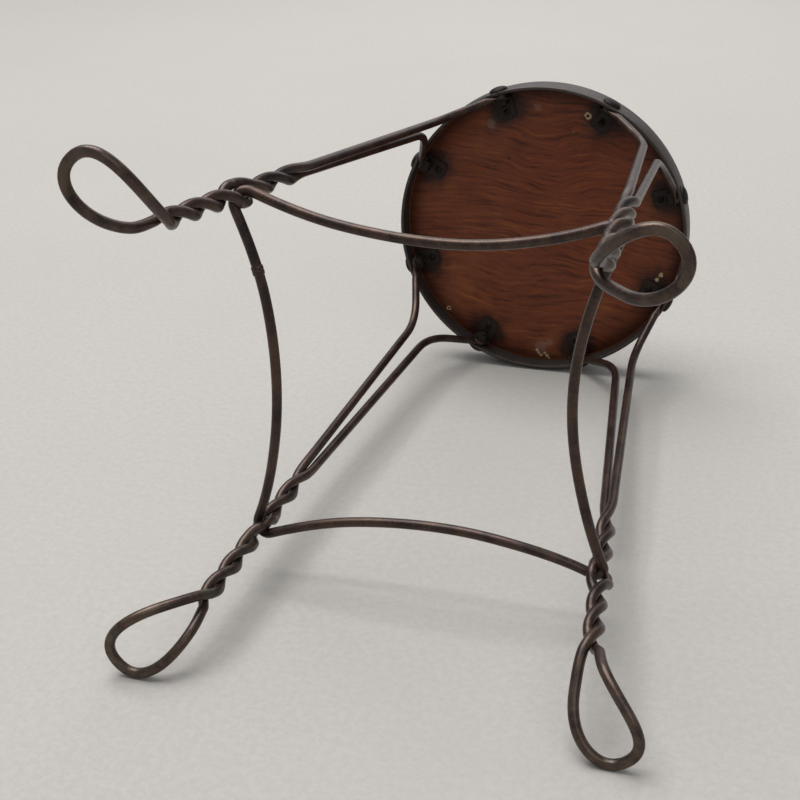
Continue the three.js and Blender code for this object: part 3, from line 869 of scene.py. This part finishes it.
def bent(point, foot_set):
    """Adds the frame's wring and the foot's own set, which fades out at the top of the twist."""
    spread, sway = foot_set
    share = (TWIST_TOP_HEIGHT - point.z) / (TWIST_TOP_HEIGHT - TWIST_BOTTOM_HEIGHT)
    share = min(max(share, 0), 1)
    wring = float(np.interp(point.z, WRING_HEIGHTS, WRING_SHIFTS))
    return Vector((point.x + share * spread, point.y + share * sway + wring, point.z))


def ring_shift(azimuth):
    """Shift of the ring at an azimuth, blended between the two legs beside it."""
    share = (TWIST_TOP_HEIGHT - RING_HEIGHT) / (TWIST_TOP_HEIGHT - TWIST_BOTTOM_HEIGHT)
    outwards = 0
    sideways = float(np.interp(RING_HEIGHT, WRING_HEIGHTS, WRING_SHIFTS))
    for leg, leg_azimuth in LEG_AZIMUTH.items():
        apart = abs((azimuth - leg_azimuth + 180) % 360 - 180)
        weight = math.cos(math.radians(apart)) ** 2 if apart < 90 else 0
        outwards += weight * share * FOOT_SET[leg][0]
        sideways += weight * share * FOOT_SET[leg][1]
    return outwards, sideways


def ring_point(radius, azimuth, lift):
    outwards, sideways = ring_shift(azimuth)
    sideways *= radius / leg_axis_radius(RING_HEIGHT)
    point = Vector((radius + outwards, sideways, RING_HEIGHT + lift))
    return Matrix.Rotation(math.radians(azimuth), 3, "Z") @ point


def ring_quarter(leg_azimuth):
    """A bend round the inner strand of a leg, then an arc bowed towards the axis."""
    bend = RING_OPENING
    strand = leg_axis_radius(RING_HEIGHT) - RING_OPENING
    centre = RING_MIDDLE_RADIUS
    root = math.sqrt(2)
    arc_radius = (bend**2 - centre**2 - strand**2 + root * centre * strand) / (
        2 * centre - root * strand - 2 * bend
    )
    arc_place = (arc_radius + centre) / root
    leave_angle = math.atan2(arc_place, arc_place - strand)
    flat = []
    for step in range(-RING_BEND_STEPS, RING_BEND_STEPS + 1):
        angle = leave_angle * step / RING_BEND_STEPS
        lift = RING_LEAN * math.sin(min(max(angle, -math.pi / 2), math.pi / 2))
        flat.append((strand + bend * math.cos(angle), bend * math.sin(angle), lift))
    half_sweep = leave_angle - math.pi / 4
    for step in range(1, RING_ARC_STEPS):
        share = step / RING_ARC_STEPS
        angle = 1.25 * math.pi + lerp(half_sweep, -half_sweep, share)
        lift = smoothstep((1 - share) / RING_LEAN_FADE) - smoothstep(share / RING_LEAN_FADE)
        x = arc_place + arc_radius * math.cos(angle)
        y = arc_place + arc_radius * math.sin(angle)
        flat.append((x, y, RING_LEAN * lift))
    return [
        ring_point(math.hypot(x, y), leg_azimuth + math.degrees(math.atan2(y, x)), lift)
        for x, y, lift in flat
    ]


# ------------------------------------------------------------------ wires
def hand_worked(point):
    """Small swelling and thinning of hand-worked wire at a point."""
    return 0.978 + 0.012 * noise.noise(point * 60)


def wire(name, points, closed=False):
    """A round wire along a centre line, made a mesh."""
    bpy.ops.object.select_all(action="DESELECT")
    bpy.ops.curve.primitive_bezier_curve_add()
    piece = added(name)
    line = piece.data
    line.dimensions = "3D"
    line.bevel_depth = bpy.context.scene.stool_sizes.wire_diameter / 2
    line.bevel_resolution = 10
    line.resolution_u = 2
    line.use_fill_caps = not closed
    spline = line.splines[0]
    spline.use_cyclic_u = closed
    spline.bezier_points.add(len(points) - 2)
    for place, knot in zip(points, spline.bezier_points):
        knot.co = place
        knot.handle_left_type = "AUTO"
        knot.handle_right_type = "AUTO"
        knot.radius = hand_worked(place)
    bpy.ops.object.convert(target="MESH")
    return piece


def forge_eye(piece, neck_end, centre, facing):
    """Draws a wire's end out into a flat neck, adds the round eye and drills it."""
    sizes = bpy.context.scene.stool_sizes
    back = (centre - neck_end).normalized()
    across = facing.cross(back).normalized()
    step = (centre - neck_end) / EYE_NECK_STEPS
    edit(piece)
    choose(
        piece,
        "faces",
        lambda face: (middle(face) - neck_end).length < sizes.wire_diameter and face.normal.dot(back) > 0.9,
    )
    width, thickness = 1, 1
    for index in range(1, EYE_NECK_STEPS + 1):
        share = index / EYE_NECK_STEPS
        new_width = lerp(1, EYE_NECK_WIDEN, smoothstep(share * 1.1))
        new_thickness = lerp(1, EYE_NECK_THIN, smoothstep(share * 1.5))
        extrude(step)
        scale_about(
            neck_end + index * step,
            (new_width / width, new_thickness / thickness, 1),
            (across, facing, back),
        )
        width, thickness = new_width, new_thickness
    leave()
    eye = rod(sizes.eye_diameter / 2, EYE_FACE - EYE_INNER_FACE, centre, facing, 48)
    finish_with(eye, "BEVEL", width=0.8 * MM, segments=3, limit_method="ANGLE")
    combine(piece, eye, "UNION")
    hole = rod(sizes.bolt_diameter / 2 + BOLT_HOLE_GAP, DRILL_LENGTH, centre, facing)
    combine(piece, hole, "DIFFERENCE")


def cut_below(height):
    """In edit mode, cuts the selection off flat at a height."""
    bpy.ops.mesh.bisect(
        plane_co=(0, 0, height), plane_no=(0, 0, 1), use_fill=True, clear_inner=True, threshold=1e-6
    )


def wear_sole(piece):
    """Cuts the worn flat under the foot and softens its edge."""
    edit(piece)
    cut_below(SOLE_HEIGHT)
    choose(
        piece,
        "edges",
        lambda edge: all(abs(vert.co.z - SOLE_HEIGHT) < 1e-6 for vert in edge.verts)
        and any(face.normal.z > -0.99 for face in edge.link_faces),
    )
    bpy.ops.mesh.bevel(offset=SOLE_EDGE, segments=2, affect="EDGES")
    leave()


class STOOL_OT_legs(bpy.types.Operator):
    """Bend, twist and forge the four wire legs"""

    bl_idname = "stool.make_legs"
    bl_label = "Wire Legs"

    def execute(self, context):
        for leg, azimuth in LEG_AZIMUTH.items():
            turn = Matrix.Rotation(math.radians(azimuth), 3, "Z")
            centre_line = upper_points(1) + loop_points() + upper_points(-1)[::-1]
            points = [turn @ bent(point, FOOT_SET[leg]) for point in centre_line]
            piece = wire(f"wire_leg_{leg}", points)
            for side, neck_end in ((1, points[0]), (-1, points[-1])):
                outwards = math.radians(azimuth + side * BOLT_AZIMUTH)
                facing = Vector((math.cos(outwards), math.sin(outwards), 0))
                forge_eye(piece, neck_end, turn @ eye_centre(side), facing)
            wear_sole(piece)
            tidy_surface(piece, 40)
            hand_over(piece, f"leg_{leg}", "wire_steel")
        return {"FINISHED"}


class STOOL_OT_ring(bpy.types.Operator):
    """Bend the stretcher ring that hooks through the four legs"""

    bl_idname = "stool.make_ring"
    bl_label = "Stretcher Ring"

    def execute(self, context):
        points = [point for azimuth in (-135, -45, 45, 135) for point in ring_quarter(azimuth)]
        seam = 2 * RING_BEND_STEPS + RING_SEAM_STEP
        piece = wire("wire_ring", points, True)
        along = points[seam + 1] - points[seam]
        weld = points[seam] + RING_SEAM_SHARE * along
        for share in (-0.4, 0.4):
            place = weld + share * WELD_BEAD_LENGTH * along.normalized()
            bead = rod(WELD_BEAD_RADIUS, WELD_BEAD_LENGTH, place, along)
            finish_with(bead, "BEVEL", width=1.1 * MM, segments=4, limit_method="ANGLE")
            combine(piece, bead, "UNION")
        tidy_surface(piece, 60)
        hand_over(piece, "stretcher_ring", "wire_steel")
        return {"FINISHED"}


# ------------------------------------------------------------------ hoop and seat
def bolt_holes(radius):
    """Drills for the eight bolts, joined into one tool."""
    rods = []
    for index in range(FIXING_COUNT):
        azimuth = math.radians(BOLT_AZIMUTH + FIXING_STEP * index)
        outwards = Vector((math.cos(azimuth), math.sin(azimuth), 0))
        place = outwards * HOOP_RADIUS + Vector((0, 0, BOLT_HEIGHT))
        rods.append(rod(radius, DRILL_LENGTH, place, outwards))
    return joined(rods)


class STOOL_OT_hoop(bpy.types.Operator):
    """Roll the flat steel hoop and drill it for the bolts"""

    bl_idname = "stool.make_hoop"
    bl_label = "Seat Hoop"

    def execute(self, context):
        sizes = context.scene.stool_sizes
        bpy.ops.object.select_all(action="DESELECT")
        bpy.ops.mesh.primitive_cylinder_add(
            vertices=HOOP_SEGMENTS,
            radius=HOOP_RADIUS,
            depth=HOOP_HIGH.z - HOOP_LOW.z,
            end_fill_type="NOTHING",
            location=(0, 0, (HOOP_HIGH.z + HOOP_LOW.z) / 2),
        )
        bpy.ops.object.transform_apply()
        hoop = added("steel_hoop")
        finish_with(hoop, "SOLIDIFY", thickness=sizes.hoop_thickness, offset=-1)
        finish_with(hoop, "BEVEL", width=sizes.hoop_edge, segments=3, limit_method="ANGLE")
        combine(hoop, bolt_holes(sizes.bolt_diameter / 2 + 0.2 * MM), "DIFFERENCE")
        tidy_surface(hoop)
        hand_over(hoop, "seat_hoop", "hoop_steel")
        return {"FINISHED"}


class STOOL_OT_panel(bpy.types.Operator):
    """Turn the round plywood seat, with its screw holes and old nail holes"""

    bl_idname = "stool.make_panel"
    bl_label = "Plywood Seat"

    def execute(self, context):
        sizes = context.scene.stool_sizes
        bpy.ops.object.select_all(action="DESELECT")
        bpy.ops.mesh.primitive_cylinder_add(
            vertices=HOOP_SEGMENTS,
            radius=PANEL_RADIUS,
            depth=PANEL_HIGH.z - PANEL_LOW.z,
            location=(0, 0, (PANEL_HIGH.z + PANEL_LOW.z) / 2),
        )
        bpy.ops.object.transform_apply()
        panel = added("plywood_seat")
        for rim, rounding, steps in ((PANEL_HIGH.z, sizes.panel_edge, 6), (PANEL_LOW.z, 0.6 * MM, 2)):
            edit(panel)
            choose(panel, "edges", lambda edge: all(abs(vert.co.z - rim) < 1e-5 for vert in edge.verts))
            bpy.ops.mesh.bevel(offset=rounding, segments=steps, affect="EDGES")
            leave()
        holes = []
        up = Vector((0, 0, 1))
        for index in range(FIXING_COUNT):
            azimuth = math.radians(BOLT_AZIMUTH + FIXING_STEP * index)
            reach = CLIP_FACE - SCREW_SETBACK
            place = Vector((reach * math.cos(azimuth), reach * math.sin(azimuth), PANEL_LOW.z))
            holes.append(rod(SCREW_HOLE_RADIUS, 18 * MM, place, up, 16))
        for x, y, radius in OLD_HOLES:
            holes.append(rod(radius * MM, 8 * MM, Vector((x * MM, y * MM, PANEL_LOW.z)), up, 16))
        combine(panel, joined(holes), "DIFFERENCE")
        tidy_surface(panel)
        hand_over(panel, "seat_panel", "seat_plywood")
        return {"FINISHED"}


# ------------------------------------------------------------------ fixings
def domed_head(name, radius, height, rim):
    """A round head standing on the floor plane, its flat face left selected in edit mode."""
    bpy.ops.object.select_all(action="DESELECT")
    bpy.ops.mesh.primitive_uv_sphere_add(segments=40, ring_count=24, radius=radius)
    head = added(name)
    edit(head)
    bpy.ops.mesh.bisect(plane_co=(0, 0, 0), plane_no=(0, 0, 1), use_fill=True, clear_inner=True)
    bpy.ops.mesh.select_all(action="SELECT")
    scale_about((0, 0, 0), (1, 1, (height - rim) / radius))
    choose(head, "faces", lambda face: face.normal.z < -0.99)
    extrude((0, 0, -rim))
    return head


class STOOL_OT_bolts(bpy.types.Operator):
    """Turn the domed bolts that hold the wire ends and clips to the hoop"""

    bl_idname = "stool.make_bolts"
    bl_label = "Hoop Bolts"

    def execute(self, context):
        sizes = context.scene.stool_sizes
        radius = sizes.head_diameter / 2
        shank = sizes.bolt_diameter / 2
        bolt = domed_head("bolt", radius, sizes.head_height, BOLT_RIM)
        bpy.ops.mesh.inset(thickness=radius - shank)
        thread = THREAD_TURNS * THREAD_PITCH
        extrude((0, 0, thread - BOLT_LENGTH))
        for turn in range(THREAD_TURNS):
            low = -BOLT_RIM - BOLT_LENGTH + thread - turn * THREAD_PITCH
            for part, factor in ((0.5, THREAD_DEPTH), (0.5, 1 / THREAD_DEPTH)):
                low -= part * THREAD_PITCH
                extrude((0, 0, -part * THREAD_PITCH))
                scale_about((0, 0, low), (factor, factor, 1))
        leave()
        tidy_surface(bolt, 50)
        seat = HOOP_RADIUS + BOLT_STANDOFF + BOLT_RIM
        settle(bolt, turn=Euler((0, math.pi / 2, 0)), place=Vector((seat, 0, BOLT_HEIGHT)))
        round_the_hoop(bolt, "domed_bolt", "hoop_bolt")
        return {"FINISHED"}


class STOOL_OT_clips(bpy.types.Operator):
    """Bend the strip clips between the hoop bolts and the seat"""

    bl_idname = "stool.make_clips"
    bl_label = "Seat Clips"

    def execute(self, context):
        sizes = context.scene.stool_sizes
        top = PANEL_LOW.z - TOUCHING_GAP
        bpy.ops.object.select_all(action="DESELECT")
        bpy.ops.mesh.primitive_plane_add(size=1)
        clip = added("clip")
        settle(clip)
        edit(clip)
        scale_about((0, 0, 0), (sizes.clip_reach, sizes.clip_width, 1))
        bpy.ops.transform.translate(value=(CLIP_FACE - sizes.clip_reach / 2, 0, top))
        tip = CLIP_FACE - sizes.clip_reach + MM
        foot = top - sizes.clip_drop + MM

        def in_fold(edge):
            return all(vert.co.x > CLIP_FACE - MM and vert.co.z > top - MM for vert in edge.verts)

        choose(clip, "edges", in_fold)
        extrude((0, 0, -sizes.clip_drop))
        choose(clip, "edges", in_fold)
        bpy.ops.mesh.bevel(offset=CLIP_BEND, segments=6, affect="EDGES")
        choose(clip, "verts", lambda vert: vert.co.x < tip or vert.co.z < foot)
        bpy.ops.mesh.bevel(offset=CLIP_CORNER, segments=5, affect="VERTICES")
        bpy.ops.mesh.select_all(action="SELECT")
        bpy.ops.mesh.normals_make_consistent(inside=False)
        leave()
        upwards = max(clip.data.polygons, key=lambda face: face.area).normal.z > 0
        finish_with(clip, "SOLIDIFY", thickness=sizes.clip_thickness, offset=-1 if upwards else 1)
        finish_with(clip, "BEVEL", width=0.35 * MM, segments=2, limit_method="ANGLE", angle_limit=1)
        bolt_place = Vector((CLIP_FACE, 0, BOLT_HEIGHT))
        bolt_hole_radius = sizes.bolt_diameter / 2 + BOLT_HOLE_GAP
        combine(clip, rod(bolt_hole_radius, DRILL_LENGTH, bolt_place, Vector((1, 0, 0))), "DIFFERENCE")
        screw_place = Vector((CLIP_FACE - SCREW_SETBACK, 0, top))
        combine(clip, rod(SCREW_HOLE_RADIUS, 8 * MM, screw_place, Vector((0, 0, 1))), "DIFFERENCE")
        tidy_surface(clip)
        round_the_hoop(clip, "strip_clip", "seat_clip")
        return {"FINISHED"}


class STOOL_OT_nuts(bpy.types.Operator):
    """Cut the square nuts"""

    bl_idname = "stool.make_nuts"
    bl_label = "Square Nuts"

    def execute(self, context):
        sizes = context.scene.stool_sizes
        face = CLIP_FACE - sizes.clip_thickness - TOUCHING_GAP
        bpy.ops.object.select_all(action="DESELECT")
        bpy.ops.mesh.primitive_cube_add(size=1, scale=(sizes.nut_thickness, sizes.nut_width, sizes.nut_width))
        bpy.ops.object.transform_apply()
        nut = added("nut")
        edit(nut)
        choose(nut, "verts", lambda vert: vert.co.x < 0)
        bpy.ops.mesh.bevel(offset=1.3 * MM, segments=1, affect="VERTICES")
        leave()
        finish_with(nut, "BEVEL", width=0.45 * MM, segments=3, limit_method="ANGLE")
        hole = rod(sizes.bolt_diameter / 2 + TOUCHING_GAP, DRILL_LENGTH, Vector(), Vector((1, 0, 0)))
        combine(nut, hole, "DIFFERENCE")
        tidy_surface(nut)

        def place_nut(piece, index):
            turn = Euler((math.radians(NUT_TURNS[index]), 0, 0))
            settle(piece, turn, Vector((face - sizes.nut_thickness / 2, 0, BOLT_HEIGHT)))

        round_the_hoop(nut, "nut", "square_nut", place_nut)
        return {"FINISHED"}


class STOOL_OT_screws(bpy.types.Operator):
    """Turn and slot the round-head screws that hold the clips to the seat"""

    bl_idname = "stool.make_screws"
    bl_label = "Clip Screws"

    def execute(self, context):
        sizes = context.scene.stool_sizes
        radius = sizes.screw_diameter / 2
        screw = domed_head("screw", radius, SCREW_HEAD_HEIGHT, 0.2 * MM)
        bpy.ops.mesh.inset(thickness=radius - SCREW_RADIUS)
        extrude((0, 0, -0.75 * SCREW_LENGTH))
        extrude((0, 0, -0.25 * SCREW_LENGTH))
        scale_about((0, 0, -SCREW_LENGTH), (0.15, 0.15, 1))
        leave()
        bpy.ops.object.select_all(action="DESELECT")
        bpy.ops.mesh.primitive_cube_add(size=1, scale=(3 * radius, 1.1 * MM, 2 * MM))
        bpy.ops.object.transform_apply()
        slot = added("slot")
        settle(slot, place=Vector((0, 0, SCREW_HEAD_HEIGHT + 0.1 * MM)))
        combine(screw, slot, "DIFFERENCE")
        tidy_surface(screw, 40)
        seat = PANEL_LOW.z - sizes.clip_thickness - SCREW_HEAD_GAP

        def place_screw(piece, index):
            settle(piece, Euler((0, 0, math.radians(SCREW_TURNS[index]))))
            settle(piece, Euler((math.pi, 0, 0)), Vector((CLIP_FACE - SCREW_SETBACK, 0, seat)))

        round_the_hoop(screw, "slotted_screw", "clip_screw", place_screw)
        return {"FINISHED"}


# ------------------------------------------------------------------ finishes
class STOOL_OT_finishes(bpy.types.Operator):
    """Make the shared node groups and the finishes of the steel and the seat"""

    bl_idname = "stool.make_finishes"
    bl_label = "Finishes"

    def execute(self, context):
        build_oxide_group()
        build_edge_group()
        build_dust_group()
        build_wire_material()
        build_hoop_material()
        build_fixing_material()
        build_plywood_material()
        return {"FINISHED"}


# ------------------------------------------------------------------ stage
def lying_ground():
    """Plane that the stool lies on when it is tipped over: its normal, and a point of it."""
    resting = ("seat_hoop", "leg_front_left", "leg_rear_left")
    clouds = [[vert.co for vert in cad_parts[name].data.vertices] for name in resting]
    normal = Vector((1, 0, 0))
    for _ in range(6):
        first, second, third = (min(cloud, key=normal.dot) for cloud in clouds)
        normal = (second - first).cross(third - first).normalized()
        normal *= math.copysign(1, normal.x)
    return normal, Vector(first)


def add_light(name, place, target, size, power):
    light = bpy.data.objects.new(name, bpy.data.lights.new(name, "AREA"))
    bpy.context.scene.collection.objects.link(light)
    light.data.shape = "SQUARE"
    light.data.size = size
    light.data.energy = power
    light.location = place
    light.rotation_euler = (target - place).to_track_quat("-Z", "Y").to_euler()


def add_plane(name, place, turn):
    bpy.ops.object.select_all(action="DESELECT")
    bpy.ops.mesh.primitive_plane_add(size=FLOOR_SIZE, location=place, rotation=turn)
    plane = added(name)
    plane.data.materials.append(stage_material(name))
    return plane


class STOOL_OT_stage(bpy.types.Operator):
    """Set the pale floor, the soft lights and the camera"""

    bl_idname = "stool.set_stage"
    bl_label = "Stage"

    def execute(self, context):
        normal, contact = lying_ground()
        add_plane("ground_lying", contact, normal.to_track_quat("Z", "Y").to_euler())
        upright = add_plane("floor_standing", Vector(), Euler())
        for ray in ("diffuse", "glossy", "transmission", "volume_scatter", "shadow"):
            setattr(upright, f"visible_{ray}", False)

        centre = AXIS + Vector((0, 0, LIT_HEIGHT))
        for name, offset, size, power in LIGHTS:
            add_light(name, centre + Vector(offset), centre, size, power)

        world = bpy.data.worlds.new("studio")
        context.scene.world = world
        world.use_nodes = True
        background = world.node_tree.nodes["Background"]
        background.inputs["Color"].default_value = ROOM_COLOUR
        background.inputs["Strength"].default_value = ROOM_STRENGTH

        camera = bpy.data.objects.new("camera", bpy.data.cameras.new("camera"))
        context.scene.collection.objects.link(camera)
        camera.data.lens = LENS
        camera.data.sensor_width = SENSOR
        back = CAMERA_RIGHT.cross(CAMERA_UP)
        camera.rotation_mode = "QUATERNION"
        camera.rotation_quaternion = Matrix((CAMERA_RIGHT, CAMERA_UP, back)).transposed().to_quaternion()
        camera.location = AXIS + CAMERA_PLACE
        context.scene.camera = camera
        context.scene.view_settings.view_transform = "Standard"
        return {"FINISHED"}


# ------------------------------------------------------------------ add-on
class STOOL_PT_builder(bpy.types.Panel):
    """Sizes, finishes and pieces of the stool"""

    bl_idname = "STOOL_PT_builder"
    bl_label = "Wire Stool"
    bl_space_type = "VIEW_3D"
    bl_region_type = "UI"
    bl_category = "Stool"

    def draw(self, context):
        for settings in (context.scene.stool_sizes, context.scene.stool_finish):
            box = self.layout.box()
            for name in settings.__annotations__:
                box.prop(settings, name)
        for operator in PIECES:
            self.layout.operator(operator.bl_idname)


PIECES = (
    STOOL_OT_finishes,
    STOOL_OT_stage,
    STOOL_OT_hoop,
    STOOL_OT_panel,
    STOOL_OT_legs,
    STOOL_OT_ring,
    STOOL_OT_bolts,
    STOOL_OT_clips,
    STOOL_OT_nuts,
    STOOL_OT_screws,
)
CLASSES = (StoolSizes, StoolFinish, *PIECES, STOOL_PT_builder)


def register():
    for item in CLASSES:
        bpy.utils.register_class(item)
    bpy.types.Scene.stool_sizes = PointerProperty(type=StoolSizes)
    bpy.types.Scene.stool_finish = PointerProperty(type=StoolFinish)


def unregister():
    del bpy.types.Scene.stool_finish
    del bpy.types.Scene.stool_sizes
    for item in reversed(CLASSES):
        bpy.utils.unregister_class(item)


def main():
    register()
    bpy.ops.stool.make_finishes()
    bpy.ops.stool.set_stage()
    bpy.ops.stool.make_hoop()
    bpy.ops.stool.make_panel()
    bpy.ops.stool.make_legs()
    bpy.ops.stool.make_ring()
    bpy.ops.stool.make_bolts()
    bpy.ops.stool.make_clips()
    bpy.ops.stool.make_nuts()
    bpy.ops.stool.make_screws()


if __name__ == "__main__":
    main()
